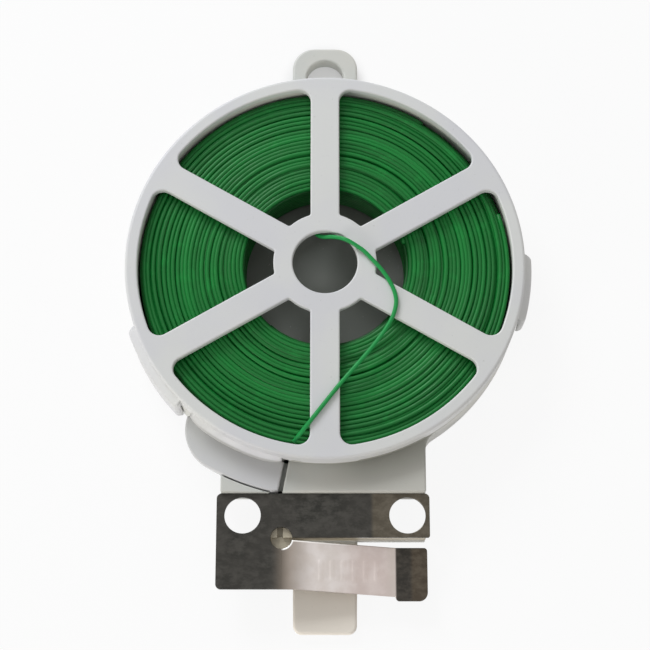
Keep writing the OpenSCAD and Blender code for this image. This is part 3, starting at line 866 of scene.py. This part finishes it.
neck = [
    slab(foot_loop, [], rounded_section(0.02, 1.02, 0.3, 0.05)),
    slab(right_loop, [], rounded_section(0.9, NECK_TOP, 0.1, 0.45, 5)),
    slab(pocket_floor_loop, [], rounded_section(0.9, APRON_LOW - 0.3, 0.1, 0.05)),
    slab(left_loop, [], rounded_section(APRON_LOW - 0.6, NECK_TOP, 0.05, 0.3, 5)),
    slab(slot_floor_loop, [], rounded_section(0.8, SLOT_Z, 0.02, 0.02)),
]

# %% Shelf, front wall and tongue
SHELF_TOP = plate_low[2]
SHELF_WALL = 0.8
BAY = 14.65
TONGUE_HALF = 7.7
TONGUE_T = 2.2


def block(low, high, edge):
    """A box with rounded upright corners and rounded upper and lower edges."""
    corners = [(low[0], low[1]), (high[0], low[1]), (high[0], high[1]), (low[0], high[1])]
    return slab(round_corners(corners, 2 * edge), [], rounded_section(low[2], high[2], edge, edge))


groove = [slot_side((SHELF_FRONT + step_y) / 2, side)[0] for side in (-1, 1)]
shelf = [
    block((-BAY, SHELF_FRONT, 0.03), (BAY, step_y + 1, SLOT_Z), 0.1),
    block((-BAY, SHELF_FRONT, SLOT_Z - 0.2), (groove[0], step_y + 1, SHELF_TOP - 0.01), 0.1),
    block((groove[1], SHELF_FRONT, SLOT_Z - 0.2), (BAY, step_y + 1, SHELF_TOP - 0.01), 0.1),
    block((NECK_L, SHELF_FRONT - 0.01, 0.04), (groove[0], SHELF_FRONT + SHELF_WALL, SHELF_TOP - 0.02), 0.15),
    block((groove[1], SHELF_FRONT - 0.01, 0.04), (NECK_R, SHELF_FRONT + SHELF_WALL, SHELF_TOP - 0.02), 0.15),
    block((-BAY, SHELF_FRONT - 3.2, 0.035), (-7.4, SHELF_FRONT + 0.5, SHELF_TOP - 1), 0.2),
]
tongue_end = TONGUE_HALF - 0.25
tongue_loop = round_corners(
    [(-tongue_end, case_low[1]), (tongue_end, case_low[1]), (TONGUE_HALF, -64), (-TONGUE_HALF, -64)],
    [2, 2, 0, 0], 10)
tongue = slab(tongue_loop, [], rounded_section(0.05, TONGUE_T, 0.3, 0.6, 5))
case = make_piece("case_shell", join(drum, tab, *neck, *shelf, tongue), CASE_WHITE, "case",
                  ["rear_case"])
even_normals(case)

# %% [markdown]
# ## The steel cutter
# The cutter is one stamping of 1 mm sheet. A slit with a round end frees its lower right part as a
# flap, which slopes back and ends in a level lip. The fixed part is a slab with two holes. The flap
# is a section carried along X. Low ribs on it give the thumb a grip.

# %% Fixed plate
HOLE_R = 4.25
HOLE_X = 19.3
HOLE_Y = -59.9
STEEL_EDGE = 0.14
left, right = plate_low[0], plate_high[0]
low_y, high_y = plate_low[1], plate_high[1]
steel_low, steel_high = plate_low[2], plate_high[2]
band_start = math.degrees(math.asin((BAND_LOW - RELIEF[1]) / RELIEF_R))
outer = round_corners(
    [(RELIEF[0], low_y), (RELIEF[0] + RELIEF_R, BAND_LOW), (right, BAND_LOW), (right, high_y), (left, high_y),
     (left, low_y), (RELIEF[0] - 0.02, low_y)], [0, 0, 0.5, 1.2, 1.2, 1.2, 0], 9)
plate_loop = np.concatenate([outer[:1], arc(RELIEF, RELIEF_R, 270, band_start, 41), outer[2:]])
off_seam = np.where((np.abs(plate_loop[:, 0] - RELIEF[0]) < 0.01) & (plate_loop[:, 1] < RELIEF[1]), 0, 1)
plain_section = rounded_section(steel_low, steel_high, STEEL_EDGE, STEEL_EDGE)
plate_section = [(inset * off_seam, height) for inset, height in plain_section]
fixing_holes = [arc((side * HOLE_X, HOLE_Y), HOLE_R, 0, 360, 73)[:-1] for side in (-1, 1)]
plate = make_piece("cutter_sheet", slab(plate_loop, fixing_holes, plate_section, plain_section), STEEL,
                   "case", ["cutter_plate"])
even_normals(plate)

# %% Flap outline and bend
LIP_EXTRA = 1.0
drop = plate_low[2] - flap_low[2]
lip_end = flap_high[0]


def smooth(x, low, high):
    """0 below low, 1 above high and an even S between them."""
    t = np.clip((x - low) / (high - low), 0, 1)
    return t * t * (3 - 2 * t)


def corner_cut(x, end, radius):
    """How far a rounded corner at x = end has drawn in at x."""
    t = np.clip((x - (end - radius)) / radius, 0, 1)
    return radius * (1 - np.sqrt(1 - t * t))


sweep = 1 - np.cos(np.radians(np.linspace(0, 90, 14)))
stations = np.unique(np.concatenate([
    np.linspace(RELIEF[0], lip_end, 300), lip_end - 2 * sweep, lip_end - STEEL_EDGE * sweep]))
lean = FLARE * np.clip((stations - BEND_X) / (RIDGE_X - BEND_X), 0, 1)
round_end = np.sqrt(np.clip(RELIEF_R ** 2 - (stations - RELIEF[0]) ** 2, 0, None))
top_edge = np.minimum(FLAP_TOP, RELIEF[1] - round_end) - lean - corner_cut(stations, lip_end, 0.8)
lip_share = np.sqrt(1 - (1 - np.clip((stations - RIDGE_X) / 0.9, 0, 1)) ** 2)
low_edge = low_y - lean - LIP_EXTRA * lip_share + corner_cut(stations, lip_end, 2)
slope = -drop / (RIDGE_X - BEND_X) * smooth(stations, BEND_X - 1, BEND_X + 1)
slope *= 1 - smooth(stations, RIDGE_X - 0.5, RIDGE_X + 0.5)
fall = np.concatenate([[0], np.cumsum(np.diff(stations) * (slope[1:] + slope[:-1]) / 2)])
print(f"flap: falls {-fall[-1]:.2f} mm of {drop:.2f}")

# %% Flap section and grip ribs
RIB_HEIGHT = 0.12
RIB_X = np.arange(-1.0, 14.5, 2.6)
across = np.linspace(0, 1, 44)
turn = np.radians(np.linspace(0, 90, 4))
edge = STEEL_EDGE
nose = corner_cut(stations, lip_end, STEEL_EDGE)[:, None]
far, near = top_edge[:, None] - nose, low_edge[:, None] + nose
face_y = far - edge + (near - far + 2 * edge) * across
rib = np.exp(-(((stations[:, None, None] - RIB_X) / 0.5) ** 4)).sum(2)
rib = rib * smooth(face_y, -75.4, -74.8) * (1 - smooth(face_y, -70.6, -70.0))
high, low = steel_high - nose, steel_low + nose
section_y = np.concatenate([
    face_y, near + edge * (1 - np.sin(turn[1:])), near + edge * (1 - np.cos(turn)),
    far - edge * (1 - np.sin(turn)), far - edge * (1 - np.cos(turn[:-1]))], 1)
section_z = np.concatenate([
    high + RIB_HEIGHT * rib, high - edge * (1 - np.cos(turn[1:])), low + edge * (1 - np.sin(turn)),
    low + edge * (1 - np.cos(turn)), high - edge * (1 - np.sin(turn[:-1]))], 1)
section_x = np.broadcast_to(stations[:, None], section_y.shape)
flap_points, flap_faces = grid(np.stack([section_x, section_y, section_z + fall[:, None]], -1))
ring = section_y.shape[1]
flap_faces += [list(range(ring))[::-1], [len(flap_points) - ring + k for k in range(ring)]]
flap = make_piece("press_flap", (flap_points, flap_faces), STEEL, None, ["cutter_flap"])
even_normals(flap)
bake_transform(flap)

# %% [markdown]
# ## Floor and light
# A pale floor catches a soft shadow. Seen by the camera and by the steel it is close to white, which
# a share of plain emission gives without any more light on the spool. Only the floor under the hang
# tab keeps its shade. A large cool lamp stands at the upper left, a neutral one low in front and a
# weak warm one at the right, and the world fills in.

# %% Floor
FLOOR_Z = -0.0001
floor_mesh = bpy.data.meshes.new("floor")
corners = [(x, y, FLOOR_Z) for x, y in ((-2, -2), (2, -2), (2, 2), (-2, 2))]
floor_mesh.from_pydata(corners, [], [(0, 1, 2, 3)])
floor = bpy.data.objects.new("floor", floor_mesh)
bpy.context.scene.collection.objects.link(floor)


def seen(tree):
    """1 for camera rays and for reflections in metal or glass, 0 for the light that fills shadows."""
    path = tree.nodes.new("ShaderNodeLightPath")
    value = path.outputs["Is Camera Ray"]
    for name in ("Is Glossy Ray", "Is Transmission Ray"):
        most = tree.nodes.new("ShaderNodeMath")
        most.operation = "MAXIMUM"
        tree.links.new(value, most.inputs[0])
        tree.links.new(path.outputs[name], most.inputs[1])
        value = most.outputs[0]
    return value


# The share of plain white, and how little of it is left in the shade under the hang tab.
WHITE_SHARE = 0.90
SHADE_SHARE = 0.30
pale = Finish("pale_floor")
pale.set(Base_Color=(0.80, 0.80, 0.80, 1), Roughness=0.9, Specular_IOR_Level=0.1)
tree = pale.tree
glow = pale.add("ShaderNodeEmission")
mixed = pale.add("ShaderNodeMixShader")
white_share = pale.ramp(pale.distance(0, MM * TAB_HOLE_Y), 0.006, 0.012, SHADE_SHARE, WHITE_SHARE)
pale.link(pale.times(seen(tree), white_share), mixed.inputs[0])
pale.link(pale.shader.outputs[0], mixed.inputs[1])
pale.link(glow.outputs[0], mixed.inputs[2])
pale.link(mixed.outputs[0], tree.nodes["Material Output"].inputs["Surface"])
floor_mesh.materials.append(pale.material)

# %% World
FILL = 0.42
world = bpy.data.worlds.new("studio")
bpy.context.scene.world = world
world.use_nodes = True
tree = world.node_tree
background = tree.nodes["Background"]
background.inputs["Color"].default_value = (1, 1, 1, 1)
level = tree.nodes.new("ShaderNodeMapRange")
level.inputs["To Min"].default_value = FILL
level.inputs["To Max"].default_value = 1.0
tree.links.new(seen(tree), level.inputs["Value"])
tree.links.new(level.outputs["Result"], background.inputs["Strength"])

# %% Lamps


def lamp(name, place, size, power, colour):
    """A square soft light that looks at the hub from a place given in metres."""
    data = bpy.data.lights.new(name, "AREA")
    data.size = size
    data.energy = power
    data.color = colour
    made = bpy.data.objects.new(name, data)
    made.location = place
    made.rotation_euler = (-Vector(place)).to_track_quat("-Z", "Y").to_euler()
    bpy.context.scene.collection.objects.link(made)


lamp("key", (-0.42, 0.74, 0.58), 0.42, 7.0, (0.94, 0.97, 1.0))
lamp("front", (-0.52, -0.70, 0.15), 0.45, 4.4, (1.0, 0.97, 0.92))
lamp("side", (0.85, -0.25, 0.30), 0.35, 0.5, (1.0, 0.88, 0.70))
bpy.context.scene.view_settings.view_transform = "Standard"
